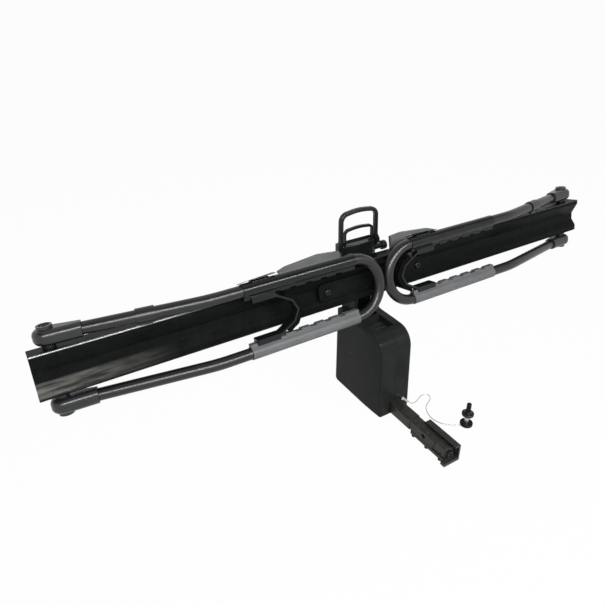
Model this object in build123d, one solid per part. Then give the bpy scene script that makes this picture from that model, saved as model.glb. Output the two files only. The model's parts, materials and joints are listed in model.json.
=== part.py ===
from build123d import *
import math
import os

os.makedirs("parts", exist_ok=True)

# Hitch rack for one bicycle, stowed upright, in millimetres.
# The origin is the middle of the hitch pin hole. X runs along the tray, +Y points away
# from the vehicle and +Z points up. Tray pieces are drawn in the tray's own frame:
# x along the tray, y up its face, z out of its trough, and are then leaned into place.

# Fits
PRESS = 0.02          # radial play of a piece that is pressed or glued in
RUN = 0.08            # radial play of a turning joint
CLEAR = 0.3           # gap between pieces that slide or sit loose
FAR = 500.0           # beyond any piece, for cuts that go right through

# Hitch bar and adapter
BAR = 31.75           # square bar, outside
BAR_WALL = 5.0
BAR_CORNER = 3.0
BAR_END_Y = -38.0     # where the bar stops and the wedge begins, along the bar's middle
BAR_BACK_Y = 346.0
WEDGE_LENGTH = 40.0
WEDGE_SLOPE = 20.0    # degrees off square of the wedge's slip face
WEDGE_STEP = 2.5      # how far the wedge's left face stands back from the bar's
PIN_HOLE_R = 6.75
SLEEVE_WALL = 2.0     # thicker collar of the bar next to the housing
SLEEVE_FRONT_Y = 52.0
ADAPTER = 50.8        # outside height and width
ADAPTER_WALL = 5.0
ADAPTER_LIP = 19.0    # width of the top lip
ADAPTER_FRONT_Y = -91.0
ADAPTER_LIP_BACK_Y = 19.0
ADAPTER_BACK_Y = 47.0
ADAPTER_TOE = 14.0    # length of the floor's wide front end
ADAPTER_BOLT_Y = (38.0, -12.0, -62.0)
ADAPTER_BOLT_X = -11.0
ADAPTER_BOLT_R = 4.0
ADAPTER_HEAD_R = 6.0
ADAPTER_HEAD_H = 6.0

# Tray lean and place
LEAN = 12.4           # degrees that the stowed tray leans back
TRAY_Y = 219.3
TRAY_Z = 358.1
TRAY_LENGTH = 1700.0
TRAY_WALL = 3.2
FLANGE_V = 50.5       # middle of the sheet of both side flanges
FLANGE_BACK_N = -82.8
TRAY_FLOOR_N = -58.0
# Bent sheet from the upper flange's back edge to the lower one's, height then depth
TRAY_BENDS = ((FLANGE_V, FLANGE_BACK_N), (FLANGE_V, -38.4), (40.6, -38.4), (8.1, TRAY_FLOOR_N),
              (-13.6, TRAY_FLOOR_N), (-32.4, -45.0), (-46.0, -45.6), (-FLANGE_V, -50.5),
              (-FLANGE_V, FLANGE_BACK_N + 2.5))

# Clamp plate in the trough
PLATE_LENGTH = 350.0
PLATE_WIDTH = 48.0
PLATE_THICK = 6.0
PLATE_V = -3.0
PLATE_N = -46.8       # underside
PLATE_BOLT_X = 150.0
PLATE_BOLT_R = 5.0
PLATE_HEAD_R = 9.0

# Tilt joint
PIVOT_Y = 320.0
PIVOT_Z = 273.8
TILT_PIN_R = 8.0
EYE_R = 22.0
EYE_HALF_WIDTH = 20.0
CHEEK_THICK = 6.4
CHEEK_R = 24.0
FOOT_HEIGHT = 50.0    # of the block between the cheeks, on the bar
ARM_HEIGHT = (20.0, 32.0)  # of the arms that hold the housing, above the bar
ARM_THICK = 16.0
WEB_THICK = 8.0       # plate between the cheeks, at their back
WEB_GAP = 8.0         # under the tilting eye
BRACKET_HEEL = ((-40.0, -88.0), (-25.0, -86.0))  # tilt bracket's lower front, height then depth

# Housing
COVER_HALF_WIDTH = 54.5
COVER_FRONT_HALF_WIDTH = 50.0
COVER_TAPER = 100.0   # length over which the sides curve in toward the front
RISER_HALF_WIDTH = 37.0  # of the tower that holds the tilt joint
RISER_FRONT = 28.0    # how far the tower reaches in front of the tilt pin
RISER_TOP = 28.0      # and above it
LEDGE_OVERLAP = 4.0   # of the ledge beside the tower, in front of it
LEDGE_SKIRT = 30.0    # how far the tower's side reaches down inside
COVER_WALL = 3.2
COVER_EDGE = 7.0      # rounding of the outer side edges
COVER_SEAM = 0.4
COVER_FRONT_Y = 134.0 # at the housing's foot
COVER_RAKE = 12.0     # how far the front leans back over its height
COVER_BACK_Y = 350.0
COVER_FLOOR_Z = -27.0
COVER_TOP_Z = 224.0
COVER_SLOT = 28.0     # half width of the slot for the tilt bracket
POCKET_Y = (196.0, 262.0)
POCKET_DEPTH = 20.0

# Hoops
TUBE = 28.0
TUBE_WALL = 2.0
LEG_SPREAD = 154.0    # between the middles of a hoop's two legs
HOOP_GAP = 2.0        # between the tips of the two hoops
LEG_BEND_X = 480.0
LEG_BEND_RADIUS = 260.0
HINGE_INSET = 45.0    # from the tray's end
HINGE_N = -68.0
COLLAR_INSET = 193.0  # along the tray, from the hinge
COLLAR_LENGTH = 40.0

# Knuckles, necks and their bolts
NECK_HEIGHT = 8.0
NECK_R = 14.0
KNUCKLE_END_R = 27.0
KNUCKLE_LENGTH = 68.0
KNUCKLE_EDGE = 13.0
BOSS_R = 16.0
BOSS_HEIGHT = 6.5
BOSS_RECESS_R = 11.0
BOSS_RECESS_DEPTH = 9.0
TUBE_STOP = 24.0      # from the hinge to the tube's end
HINGE_BOLT_R = 5.0
HINGE_HEAD_R = 8.5
HINGE_HEAD_H = 7.0
HINGE_NUT_R = 7.5
HINGE_NUT_H = 6.0

# Notched rails on the legs
RAIL_WALL = 2.2
RAIL_END_X = 399.0
RIDGE_WIDTH = 16.0
RIDGE_HEIGHT = 7.0
NOTCH_PITCH = 43.0
NOTCH_LENGTH = 17.0
NOTCH_DEPTH = 3.5
NOTCH_FIRST_X = 142.0
NOTCH_COUNT = 6

# Wheel hooks; lengths run from the inside of the hook's nose toward the hinge
HOOK_X = 55.0
HOOK_STEPS = 5        # notches between the right hook's place and the left one's
HOOK_LENGTH = 112.0
HOOK_FOOT = 60.0
HOOK_BAND = 5.0
HOOK_WIDTH = 26.0
HOOK_FOOT_THICK = 8.0
PAD_THICK = 12.0
PAD_BASE = 3.0
PAD_RIBS = 4
CLAW_DEPTH = 6.0
SADDLE_WALL = 2.4
SADDLE_START = 58.0
SADDLE_LENGTH = 46.0
LEVER_START = 40.0
LEVER_LENGTH = 92.0
LEVER_THICK = 3.8
LEVER_DROP = 2.9      # how far its free end comes down to the tube
LEVER_WIDTH = 22.0
LEVER_TURN = 20.0     # degrees back round the rail

# Rear braces
BRACE_THICK = 10.0
BRACE_INNER_X = 75.0
BRACE_OUTER_X = 262.0
BRACE_FOOT_V = -18.0
BRACE_STEP_V = 40.0   # top of the strip that reaches in to the tilt bracket
BRACE_TOP = ((BRACE_INNER_X, 82.0), (138.0, 88.0), (236.0, 79.0), (BRACE_OUTER_X, 71.0))
BRACE_UNDER = ((248.0, 54.0), (222.0, 36.0), (120.0, -8.0), (96.0, BRACE_FOOT_V))
BRACE_GAP = 0.4

# Handle; heights run up the handle from its foot
HANDLE_V = 57.8
HANDLE_N = -105.8
HANDLE_LEAN = 10.0
HANDLE_HEIGHT = 129.0
HANDLE_HALF_WIDTH = 63.0
HANDLE_BAR = 10.5
HANDLE_DEPTH = 13.0
HANDLE_ROUNDING = 3.0
HANDLE_FOOT = 12.0
HANDLE_FLARE = 6.0    # how far the feet swell out beside the base
BASE_INSET = 6.0      # from the handle's side to the base's side
BASE_BOTTOM = -13.5
BASE_TOP = 31.0
BASE_FRONT = 16.0
BASE_BACK = 26.0
BASE_BULGE = 13.0
TRIGGER_TOP = 80.0
TRIGGER_BAR = 5.0
TRIGGER_DEPTH = 8.0
TRIGGER_GAP = 5.5     # from the handle's inside
TRIGGER_SEAT = 24.0   # how deep the trigger's legs stand in the base
KNOB_V = 2.0
KNOB_N = -2.0
KNOB_R = 13.0
KNOB_NECK_R = 8.0
KNOB_X = 80.0         # where its head begins
KNOB_LENGTH = 14.0
RELIEF = 4.0          # between the knob and the brace beside it

# Lanyard and hitch pin
CABLE = 2.4
CABLE_LEAST_RADIUS = 7.2
FERRULE_R = 3.2
FERRULE_SCREW_R = 5.0
FERRULE_LENGTH = 34.0
PIN_R = 6.35
PIN_LENGTH = 73.0
PIN_HEAD_R = 17.5
PIN_HEAD_H = 9.0
PIN_CAP_R = 16.5
PIN_CAP_H = 8.0
PIN_CAP_Z = 34.0
PIN_X = 142.0
PIN_Y = -3.0

# Derived sizes
HALF_BAR = BAR / 2
HALF_ADAPTER = ADAPTER / 2
GROUND_Z = -HALF_ADAPTER - ADAPTER_HEAD_H
TUBE_R = TUBE / 2
HINGE_X = TRAY_LENGTH / 2 - HINGE_INSET
LEG_V = LEG_SPREAD / 2
TIP_X = HOOP_GAP / 2 + TUBE_R
TURN_X = TIP_X + LEG_V
FLANGE_FACE = FLANGE_V + TRAY_WALL / 2
KNUCKLE_HALF = LEG_V - FLANGE_FACE - NECK_HEIGHT
RAIL_R = TUBE_R + RAIL_WALL
RIDGE_FACE = LEG_V - RAIL_R - RIDGE_HEIGHT
FOOT_FACE = RIDGE_FACE - CLEAR
HOOK_HALF = FOOT_FACE - HOOK_FOOT_THICK
HINGE_SEAT = LEG_V + KNUCKLE_HALF + BOSS_HEIGHT - BOSS_RECESS_DEPTH
SADDLE_R = RAIL_R + 0.4
LEVER_R = SADDLE_R + SADDLE_WALL + 0.4
BASE_HALF_WIDTH = HANDLE_HALF_WIDTH - BASE_INSET
TRIGGER_HALF_WIDTH = HANDLE_HALF_WIDTH - HANDLE_BAR - TRIGGER_GAP
LEG_ANGLE = math.degrees(math.atan2(-HINGE_N, HINGE_X - LEG_BEND_X))

TRAY_FRAME = Location(Plane(
    origin=(0, TRAY_Y, TRAY_Z), x_dir=(1, 0, 0),
    z_dir=(0, -math.cos(math.radians(LEAN)), math.sin(math.radians(LEAN)))))
HANDLE_FRAME = TRAY_FRAME * Location((0, HANDLE_V, HANDLE_N), (HANDLE_LEAN, 0, 0))


def in_tray_frame(y, z):
    """Height and depth, in the tray's frame, of a place given in Y and Z."""
    lean = math.radians(LEAN)
    dy, dz = y - TRAY_Y, z - TRAY_Z
    return (dy * math.sin(lean) + dz * math.cos(lean), -dy * math.cos(lean) + dz * math.sin(lean))


PIVOT_V, PIVOT_N = in_tray_frame(PIVOT_Y, PIVOT_Z)


def handle_seat(z):
    """Height and depth, in the tray's frame, of a place on the handle base's underside."""
    v = BASE_BOTTOM - PRESS
    up, out = math.cos(math.radians(HANDLE_LEAN)), math.sin(math.radians(HANDLE_LEAN))
    return (HANDLE_V + v * up - z * out, HANDLE_N + v * out + z * up)


def block(x, y, z):
    """A box between two limits on each axis."""
    size = [high - low for low, high in (x, y, z)]
    middle = [(low + high) / 2 for low, high in (x, y, z)]
    return Pos(*middle) * Box(*size)


def rod(radius, x, at):
    """A round bar along X, at a height and depth."""
    return Pos((x[0] + x[1]) / 2, at[0], at[1]) * Rot(0, 90, 0) * Cylinder(radius, x[1] - x[0])


def post(radius, at_x, at_z, y):
    """A round bar along Y."""
    return Pos(at_x, (y[0] + y[1]) / 2, at_z) * Rot(90, 0, 0) * Cylinder(radius, y[1] - y[0])


def strip(points, left, right):
    """Outline of a band that lies between two distances to the left of a bent line."""
    sides = ([], [])
    for i, (px, py) in enumerate(points):
        ax, ay = points[max(i - 1, 0)]
        bx, by = points[min(i + 1, len(points) - 1)]
        into = math.atan2(py - ay, px - ax) if i else math.atan2(by - py, bx - px)
        out = math.atan2(by - py, bx - px) if i < len(points) - 1 else into
        half = math.remainder(out - into, 2 * math.pi) / 2
        normal = into + half + math.pi / 2
        for side, distance in zip(sides, (left, right)):
            reach = distance / math.cos(half)
            side.append((px + reach * math.cos(normal), py + reach * math.sin(normal)))
    return sides[0] + sides[1][::-1]


def mirrored(piece):
    """The left hand copy of a right hand piece."""
    return mirror(piece, about=Plane.YZ)


def lower(piece):
    """The lower copy of an upper piece, in the tray's frame."""
    return mirror(piece, about=Plane.XZ)


# Bar, wedge and adapter

def wedge_cutter():
    """Everything toward the vehicle from the slip face."""
    face = Pos(0, BAR_END_Y, 0) * Rot(WEDGE_SLOPE, 0, 0)
    return face * block((-60, 60), (-200, 0), (-90, 90))


def hitch_bar():
    square = RectangleRounded(BAR, BAR, BAR_CORNER)
    hollow = RectangleRounded(BAR - 2 * BAR_WALL, BAR - 2 * BAR_WALL, 1)
    front = BAR_END_Y - BAR
    tube = extrude(Plane.XZ.offset(-front) * (square - hollow), -(BAR_BACK_Y - front))
    tube = tube - wedge_cutter() - rod(PIN_HOLE_R, (-BAR, BAR), (0, 0))
    for y in ADAPTER_BOLT_Y[:2]:
        tube -= Pos(ADAPTER_BOLT_X, y, -HALF_BAR) * Cylinder(ADAPTER_BOLT_R + PRESS, 2.6 * BAR_WALL)
    return tube


def end_wedge():
    square = Pos(WEDGE_STEP / 2, 0) * RectangleRounded(BAR - WEDGE_STEP, BAR, BAR_CORNER)
    front = BAR_END_Y - WEDGE_LENGTH
    body = extrude(Plane.XZ.offset(-front) * square, -(WEDGE_LENGTH + BAR))
    body = body & (Pos(0, -CLEAR, 0) * wedge_cutter())
    body = chamfer(body.faces().sort_by(Axis.Y)[0].edges(), 2)
    body -= Pos(ADAPTER_BOLT_X, ADAPTER_BOLT_Y[2], -HALF_BAR) * Cylinder(ADAPTER_BOLT_R + PRESS, 16)
    return body - post(HINGE_BOLT_R + CLEAR, 0, 0, (front - 5, 0))


def wedge_bolt():
    front = BAR_END_Y - WEDGE_LENGTH
    head = post(HINGE_HEAD_R, 0, 0, (front - 6, front))
    socket = Plane.XZ.offset(-(front - 6)) * RegularPolygon(4.2, 6)
    return head + post(HINGE_BOLT_R, 0, 0, (front - 1, BAR_END_Y + 25)) - extrude(socket, -4)


def bar_sleeve():
    outer = RectangleRounded(BAR + 2 * SLEEVE_WALL, BAR + 2 * SLEEVE_WALL, BAR_CORNER + SLEEVE_WALL)
    inner = RectangleRounded(BAR + 2 * PRESS, BAR + 2 * PRESS, BAR_CORNER)
    back = TRAY_Y
    ring = extrude(Plane.XZ.offset(-(SLEEVE_FRONT_Y + CLEAR)) * (outer - inner), -(back - SLEEVE_FRONT_Y))
    return ring


def hitch_adapter():
    """Floor under the bar, wall on its right and a lip over the wall's top."""
    h = HALF_ADAPTER
    floor_top = -HALF_BAR - PRESS
    floor = block((-HALF_BAR, h), (ADAPTER_FRONT_Y, ADAPTER_BACK_Y), (-h, floor_top))
    floor += block((-h, h), (ADAPTER_FRONT_Y, ADAPTER_FRONT_Y + ADAPTER_TOE), (-h, floor_top))
    wall = block((h - ADAPTER_WALL, h), (ADAPTER_FRONT_Y, ADAPTER_LIP_BACK_Y), (-h, h))
    lip = block((h - ADAPTER_LIP, h), (ADAPTER_FRONT_Y, ADAPTER_LIP_BACK_Y), (h - ADAPTER_WALL, h))
    body = floor + wall + lip
    body = fillet(body.edges().filter_by(Axis.Y).sort_by_distance((h, 0, h))[0:1], 2.5)
    body = fillet(body.edges().filter_by(Axis.Y).sort_by_distance((h, 0, -h))[0:1], 2.5)
    body -= rod(PIN_HOLE_R, (0, ADAPTER), (0, 0))
    for y in ADAPTER_BOLT_Y:
        body -= Pos(ADAPTER_BOLT_X, y, -h) * Cylinder(ADAPTER_BOLT_R + PRESS, ADAPTER)
    return body


def adapter_bolt(y):
    h = HALF_ADAPTER
    head = Pos(ADAPTER_BOLT_X, y, -h - ADAPTER_HEAD_H / 2) * Cylinder(ADAPTER_HEAD_R, ADAPTER_HEAD_H)
    top = -HALF_BAR + BAR_WALL
    shank = Pos(ADAPTER_BOLT_X, y, (top - h) / 2) * Cylinder(ADAPTER_BOLT_R, top + h)
    socket = Plane(origin=(ADAPTER_BOLT_X, y, GROUND_Z)) * RegularPolygon(3.4, 6)
    return chamfer(head.edges().sort_by(Axis.Z)[0:1], 1) + shank - extrude(socket, 3)


# Housing and the steel inside it

def cover_outline(inset):
    """Side view of the housing, in Y and Z, with rounded corners."""
    riser_y = PIVOT_Y - RISER_FRONT + inset
    top = PIVOT_Z + RISER_TOP - inset
    points = [(COVER_FRONT_Y + inset, COVER_FLOOR_Z + inset),
              (COVER_FRONT_Y + COVER_RAKE + inset, COVER_TOP_Z - inset),
              (riser_y, COVER_TOP_Z - inset), (riser_y, top),
              (COVER_BACK_Y - inset, top), (COVER_BACK_Y - inset, COVER_FLOOR_Z + inset)]
    radii = [8, 52, 6, 24, 24, 14]
    return make_face(FilletPolyline(*points, radius=[max(r - inset, 2) for r in radii], close=True))


def cover_body(inset):
    """Right half of the housing as a solid, with its side curved in toward the front."""
    front, back = COVER_FRONT_HALF_WIDTH - inset, COVER_HALF_WIDTH - inset
    y0, y1, y2 = COVER_FRONT_Y, COVER_FRONT_Y + COVER_TAPER, COVER_BACK_Y
    curve = ThreePointArc((front, y0), (front + 0.75 * (back - front), (y0 + y1) / 2), (back, y1))
    plan = make_face(Polyline((0, y0), (front, y0)) + curve + Polyline((back, y1), (back, y2), (0, y2), (0, y0)))
    return extrude(Plane.YZ * cover_outline(inset), FAR) & extrude(plan, FAR, both=True)


def cover():
    """Right half of the housing: an open shell with a slot above for the tilt bracket."""
    outer = cover_body(0)
    edges = [edge for edge in outer.edges() if edge.bounding_box().min.X > COVER_FRONT_HALF_WIDTH - 1]
    edges = [edge for edge in edges if edge.bounding_box().size.Y > 1 or edge.center().Y < COVER_FRONT_Y + COVER_RAKE
             or edge.center().Y > COVER_BACK_Y - 1]
    outer = fillet(edges, COVER_EDGE)
    inner = cover_body(COVER_WALL)
    ledge_top = COVER_TOP_Z - CLEAR
    shell = outer - inner - block((RISER_HALF_WIDTH, FAR), (0, FAR), (ledge_top, FAR))
    step = block((RISER_HALF_WIDTH - COVER_WALL, RISER_HALF_WIDTH), (PIVOT_Y - RISER_FRONT, FAR),
                 (ledge_top - LEDGE_SKIRT, FAR))
    step += block((RISER_HALF_WIDTH - COVER_WALL, FAR), (PIVOT_Y - RISER_FRONT - LEDGE_OVERLAP, FAR),
                  (ledge_top - COVER_WALL, ledge_top))
    shell += step & outer
    shell -= block((-1, COVER_SEAM / 2), (0, FAR), (-FAR, FAR))
    shell -= block((-1, COVER_SLOT), (POCKET_Y[1] + 4, FAR), (COVER_TOP_Z - POCKET_DEPTH, FAR))
    shell -= block((-1, COVER_SLOT), POCKET_Y, (COVER_TOP_Z - POCKET_DEPTH, FAR))
    port = HALF_BAR + SLEEVE_WALL + 0.8
    return shell - block((-1, port), (0, TRAY_Y), (-port, port))


def pocket_insert():
    """Dark floor of the pocket in the housing's top, with two raised ribs."""
    x = COVER_SLOT
    top = COVER_TOP_Z - POCKET_DEPTH
    under = COVER_TOP_Z - COVER_WALL - CLEAR
    y0, y1 = POCKET_Y
    tub = block((-x - 3, x + 3), (y0 - 3, y1 + 3), (top - 4, under))
    plate = tub - block((-x, x), POCKET_Y, (top, under + 5))
    rib = block((-x + 8, x - 8), (-3.5, 3.5), (top, top + 7))
    rib = fillet(rib.edges().group_by(Axis.Z)[-1], 2.5)
    for y in (POCKET_Y[0] + 24, POCKET_Y[0] + 44):
        plate += Pos(0, y, 0) * rib
    return plate


def upright():
    """Two cheeks that rise from the bar to the tilt pin."""
    x0 = EYE_HALF_WIDTH + CLEAR
    x1 = x0 + CHEEK_THICK
    outline = [(PIVOT_Y - CHEEK_R, HALF_BAR), (PIVOT_Y - CHEEK_R, PIVOT_Z), (PIVOT_Y + CHEEK_R, PIVOT_Z),
               (PIVOT_Y + CHEEK_R, HALF_BAR)]
    side = make_face(Polyline(*outline, close=True)) + Pos(PIVOT_Y, PIVOT_Z) * Circle(CHEEK_R)
    side -= Pos(PIVOT_Y, PIVOT_Z) * Circle(TILT_PIN_R + PRESS)
    cheek = Pos(x0, 0, 0) * extrude(Plane.YZ * side, CHEEK_THICK)
    y = (PIVOT_Y - CHEEK_R, PIVOT_Y + CHEEK_R)
    foot = block((-x1, x1), y, (HALF_BAR + PRESS, HALF_BAR + FOOT_HEIGHT))
    web = block((-x1, x1), (y[1] - WEB_THICK, y[1]), (HALF_BAR + FOOT_HEIGHT, PIVOT_Z - EYE_R - WEB_GAP))
    # The arms that hold the housing from inside
    ribs = block((-COVER_HALF_WIDTH + COVER_WALL + CLEAR, COVER_HALF_WIDTH - COVER_WALL - CLEAR),
                 (PIVOT_Y - ARM_THICK / 2, PIVOT_Y + ARM_THICK / 2),
                 (HALF_BAR + ARM_HEIGHT[0], HALF_BAR + ARM_HEIGHT[1]))
    return cheek + mirrored(cheek) + foot + web + ribs


def tilt_pin():
    reach = EYE_HALF_WIDTH + CLEAR + CHEEK_THICK + 2
    pin = rod(TILT_PIN_R, (-reach, reach), (PIVOT_Y, PIVOT_Z))
    return chamfer(pin.edges(), 1)


# Tray and the pieces fixed to it, drawn in the tray's frame

def tray():
    outline = strip(TRAY_BENDS, -TRAY_WALL / 2, TRAY_WALL / 2)
    face = make_face(FilletPolyline(*outline, radius=0.45 * TRAY_WALL, close=True))
    body = extrude(Plane.YZ * face, TRAY_LENGTH / 2, both=True)
    for x in (-HINGE_X, HINGE_X):
        for v in (-FLANGE_V, FLANGE_V):
            body -= post(HINGE_BOLT_R + PRESS, x, HINGE_N, (v - TRAY_WALL, v + TRAY_WALL))
        seat = TRAY_WALL / 2 - FLANGE_V
        body -= post(HINGE_NUT_R + CLEAR, x, HINGE_N, (seat, seat + HINGE_NUT_H))
    for x in (-PLATE_BOLT_X, PLATE_BOLT_X):
        body -= Pos(x, PLATE_V, TRAY_FLOOR_N) * Cylinder(PLATE_BOLT_R + PRESS, 4 * TRAY_WALL)
    return body


def tray_plate():
    outline = RectangleRounded(PLATE_LENGTH, PLATE_WIDTH, 14)
    plate = Pos(0, PLATE_V, PLATE_N) * extrude(outline, PLATE_THICK)
    plate = chamfer(plate.faces().sort_by(Axis.Z)[-1].edges(), 1.5)
    for x in (-PLATE_BOLT_X, PLATE_BOLT_X):
        plate -= Pos(x, PLATE_V, PLATE_N) * Cylinder(PLATE_BOLT_R + PRESS, 30)
    return plate


def plate_bolt(x):
    top = PLATE_N + PLATE_THICK
    bottom = TRAY_FLOOR_N - TRAY_WALL / 2
    head = Pos(x, PLATE_V, top + 2.5) * Cylinder(PLATE_HEAD_R, 5)
    head = fillet(head.edges().sort_by(Axis.Z)[-1:], 3)
    shank = Pos(x, PLATE_V, (top + bottom) / 2) * Cylinder(PLATE_BOLT_R, top - bottom + 1)
    nut = Pos(x, PLATE_V, bottom - 6) * extrude(RegularPolygon(9, 6), 6)
    socket = Pos(x, PLATE_V, top + 2.5) * extrude(RegularPolygon(3.6, 6), 3)
    return head + shank + nut - socket


def tilt_bracket():
    """Arm between the tray's back and the tilt pin, with the handle's seat on top."""
    back = TRAY_FLOOR_N - TRAY_WALL / 2 - PRESS
    front, rear = handle_seat(BASE_FRONT), handle_seat(-BASE_BACK)
    points = [(front[0], back), front, rear, (PIVOT_V, PIVOT_N - EYE_R),
              (PIVOT_V - EYE_R, PIVOT_N), (PIVOT_V, PIVOT_N + EYE_R), *BRACKET_HEEL,
              (BRACKET_HEEL[1][0], back)]
    side = make_face(Polyline(*points, close=True)) + Pos(PIVOT_V, PIVOT_N) * Circle(EYE_R)
    side -= Pos(PIVOT_V, PIVOT_N) * Circle(TILT_PIN_R + RUN)
    return extrude(Plane.YZ * side, EYE_HALF_WIDTH, both=True)


def brace():
    """Right hand brace behind the tray, with a crowned top edge."""
    inner = EYE_HALF_WIDTH + PRESS
    points = [(inner, BRACE_FOOT_V), (inner, BRACE_STEP_V - 2), (BRACE_INNER_X, BRACE_STEP_V),
              *BRACE_TOP, *BRACE_UNDER]
    radii = [0.5, 0.5, 6, 3, 60, 60, 3, 6, 20, 20, 8]
    face = make_face(FilletPolyline(*points, radius=radii, close=True))
    return Pos(0, 0, FLANGE_BACK_N - BRACE_GAP - BRACE_THICK) * extrude(face, BRACE_THICK)


def brace_with_relief():
    """The right brace, cut back at its inner top corner so that the handle's knob can be reached."""
    relief = block((0, KNOB_X + KNOB_LENGTH + RELIEF), (BRACE_STEP_V + CLEAR, FAR), (-FAR, FAR))
    return brace() - relief


def neck():
    ring = post(NECK_R, HINGE_X, HINGE_N, (FLANGE_FACE + PRESS, FLANGE_FACE + NECK_HEIGHT - CLEAR))
    return ring - post(HINGE_BOLT_R + PRESS, HINGE_X, HINGE_N, (0, FAR))


def hinge_bolt():
    """Socket head bolt down through the knuckle and neck, with its nut under the flange."""
    seat = HINGE_SEAT
    under = FLANGE_V - TRAY_WALL / 2 - PRESS
    head = post(HINGE_HEAD_R, HINGE_X, HINGE_N, (seat + CLEAR, seat + HINGE_HEAD_H))
    shank = post(HINGE_BOLT_R, HINGE_X, HINGE_N, (under - HINGE_NUT_H, seat + 1))
    nut = post(HINGE_NUT_R, HINGE_X, HINGE_N, (under - HINGE_NUT_H, under))
    socket = Plane(origin=(HINGE_X, seat + HINGE_HEAD_H, HINGE_N), z_dir=(0, 1, 0))
    return head + shank + nut - extrude(socket * RegularPolygon(4.4, 6), -4)


# Handle, drawn in its own frame: x across, y up, z toward the vehicle

def handle_base():
    w, d = BASE_HALF_WIDTH, BASE_FRONT
    back = Polyline((w, d - BASE_BULGE), (w, -BASE_BACK), (-w, -BASE_BACK), (-w, d - BASE_BULGE))
    front = ThreePointArc((-w, d - BASE_BULGE), (0, d), (w, d - BASE_BULGE))
    plan = Plane(origin=(0, BASE_BOTTOM, 0), x_dir=(1, 0, 0), z_dir=(0, -1, 0))
    body = extrude(plan * make_face(back + front), -(BASE_TOP - BASE_BOTTOM))
    body = fillet(body.edges().group_by(Axis.Y)[-1].sort_by(Axis.Z)[-1:], 2)
    slot_x = (TRIGGER_HALF_WIDTH - TRIGGER_BAR - CLEAR, TRIGGER_HALF_WIDTH + CLEAR)
    slot_z = (-TRIGGER_DEPTH / 2 - CLEAR, TRIGGER_DEPTH / 2 + CLEAR)
    slot = block(slot_x, (BASE_TOP - TRIGGER_SEAT - 1, BASE_TOP + 5), slot_z)
    return body - slot - mirrored(slot)


def loop_face(half_width, foot, top, crown, corner, narrowing):
    """A window shape that narrows upward to a crowned top."""
    points = [(-half_width, foot), (-half_width + narrowing, top - crown), (0, top),
              (half_width - narrowing, top - crown), (half_width, foot)]
    return make_face(FilletPolyline(*points, radius=[3, corner, 180, corner, 3], close=True))


def grab_handle():
    inside = HANDLE_HALF_WIDTH - HANDLE_BAR
    swell = HANDLE_HALF_WIDTH + HANDLE_FLARE
    half = [(BASE_HALF_WIDTH + 1, HANDLE_FOOT), (swell, BASE_TOP - 10), (swell, BASE_TOP),
            (HANDLE_HALF_WIDTH - 0.5, BASE_TOP + 14)]
    outer = loop_face(HANDLE_HALF_WIDTH, BASE_TOP, HANDLE_HEIGHT, 8, 26, 1)
    outer += make_face(Polyline(*half, *[(-x, y) for x, y in half[::-1]], close=True))
    opening = loop_face(inside, BASE_TOP - 8, HANDLE_HEIGHT - HANDLE_BAR, 8, 16, 1)
    loop = extrude(outer - opening, HANDLE_DEPTH / 2, both=True)
    rims = loop.edges().group_by(Axis.Z)
    loop = fillet([edge for edge in rims[0] + rims[-1] if edge.center().Y > BASE_TOP + 3], HANDLE_ROUNDING)
    loop -= block((-BASE_HALF_WIDTH - PRESS, BASE_HALF_WIDTH + PRESS), (-60, BASE_TOP + PRESS), (-40, 40))
    return loop


def release_trigger():
    """Inner loop that is squeezed up toward the grab bar."""
    top = TRIGGER_TOP
    foot = BASE_TOP - TRIGGER_SEAT
    outer = loop_face(TRIGGER_HALF_WIDTH, foot, top, 6, 14, 0)
    inner = loop_face(TRIGGER_HALF_WIDTH - TRIGGER_BAR, foot - 20, top - TRIGGER_BAR - 2, 6, 9, 0)
    return extrude(outer - inner, TRIGGER_DEPTH / 2, both=True)


def handle_knob():
    head = rod(KNOB_R, (KNOB_X, KNOB_X + KNOB_LENGTH), (KNOB_V, KNOB_N))
    head = fillet(head.edges(), 2)
    return head + rod(KNOB_NECK_R, (BASE_HALF_WIDTH + PRESS, KNOB_X + 2), (KNOB_V, KNOB_N))


# Hoops, drawn for the right hand side in the tray's frame

def leg_point(distance):
    """Place on the sloping leg's middle, at a distance from the hinge."""
    angle = math.radians(LEG_ANGLE)
    return (HINGE_X - distance * math.cos(angle), HINGE_N + distance * math.sin(angle))


def leg_plane(distance):
    """Plane square to the sloping leg, facing the hinge."""
    x, n = leg_point(distance)
    angle = math.radians(LEG_ANGLE)
    return Plane(origin=(x, LEG_V, n), z_dir=(math.cos(angle), 0, -math.sin(angle)))


def hoop_tube():
    leg = FilletPolyline((TURN_X, 0), (LEG_BEND_X, 0), leg_point(TUBE_STOP), radius=LEG_BEND_RADIUS)
    side = Plane(origin=(0, LEG_V, 0), x_dir=(1, 0, 0), z_dir=(0, -1, 0))
    upper = side * leg
    turn = ThreePointArc((TURN_X, LEG_V, 0), (TIP_X, 0, 0), (TURN_X, -LEG_V, 0))
    path = Wire(upper.edges() + turn.edges() + mirror(upper, about=Plane.XZ).edges())
    return sweep((path ^ 0) * (Circle(TUBE_R) - Circle(TUBE_R - TUBE_WALL)), path=path)


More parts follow.
